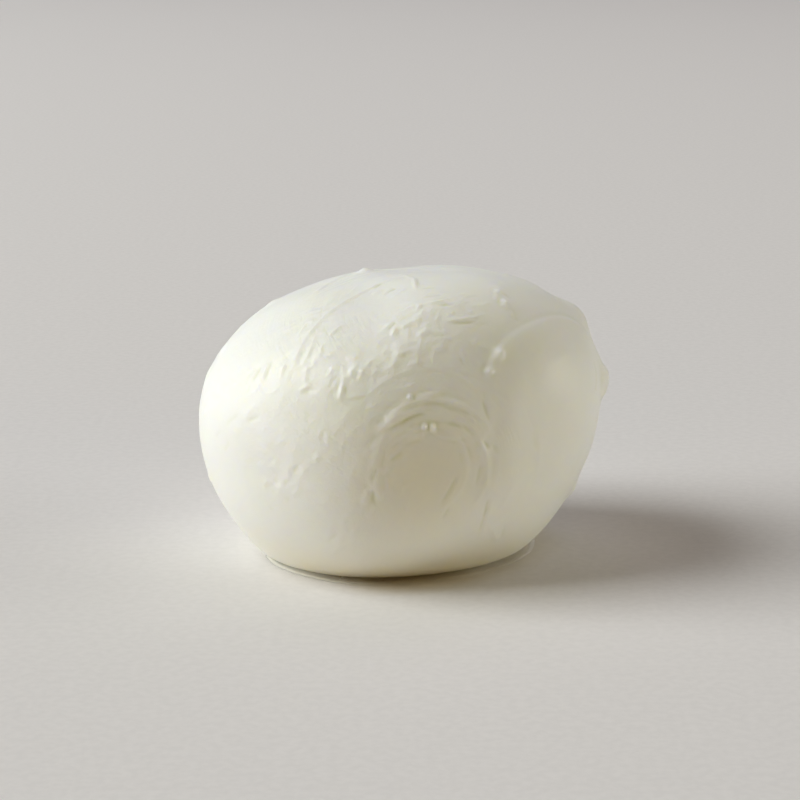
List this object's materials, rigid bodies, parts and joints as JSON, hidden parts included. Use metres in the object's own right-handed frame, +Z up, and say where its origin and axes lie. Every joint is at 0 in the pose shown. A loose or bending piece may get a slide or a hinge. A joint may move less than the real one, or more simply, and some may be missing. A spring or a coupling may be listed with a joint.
{
  "type": "mozzarella ball",
  "caption": "Ball of fresh mozzarella, hand-stretched with folded and torn skin and a pinched lobe, settled on a small flat foot.",
  "frame": {"origin": "on the resting surface, under the middle of the ball's box", "axes": "+Z up from the flat foot, +X along the ball's long axis towards the raised shoulder, -Y the front with the pinched lobe at its right"},
  "size_m": [0.0686, 0.0618, 0.0482],
  "materials": {
    "mozzarella": "moist satin curd skin"
  },
  "bodies": {
    "root": {"mozzarella_ball": "mozzarella"}
  },
  "joints": []
}
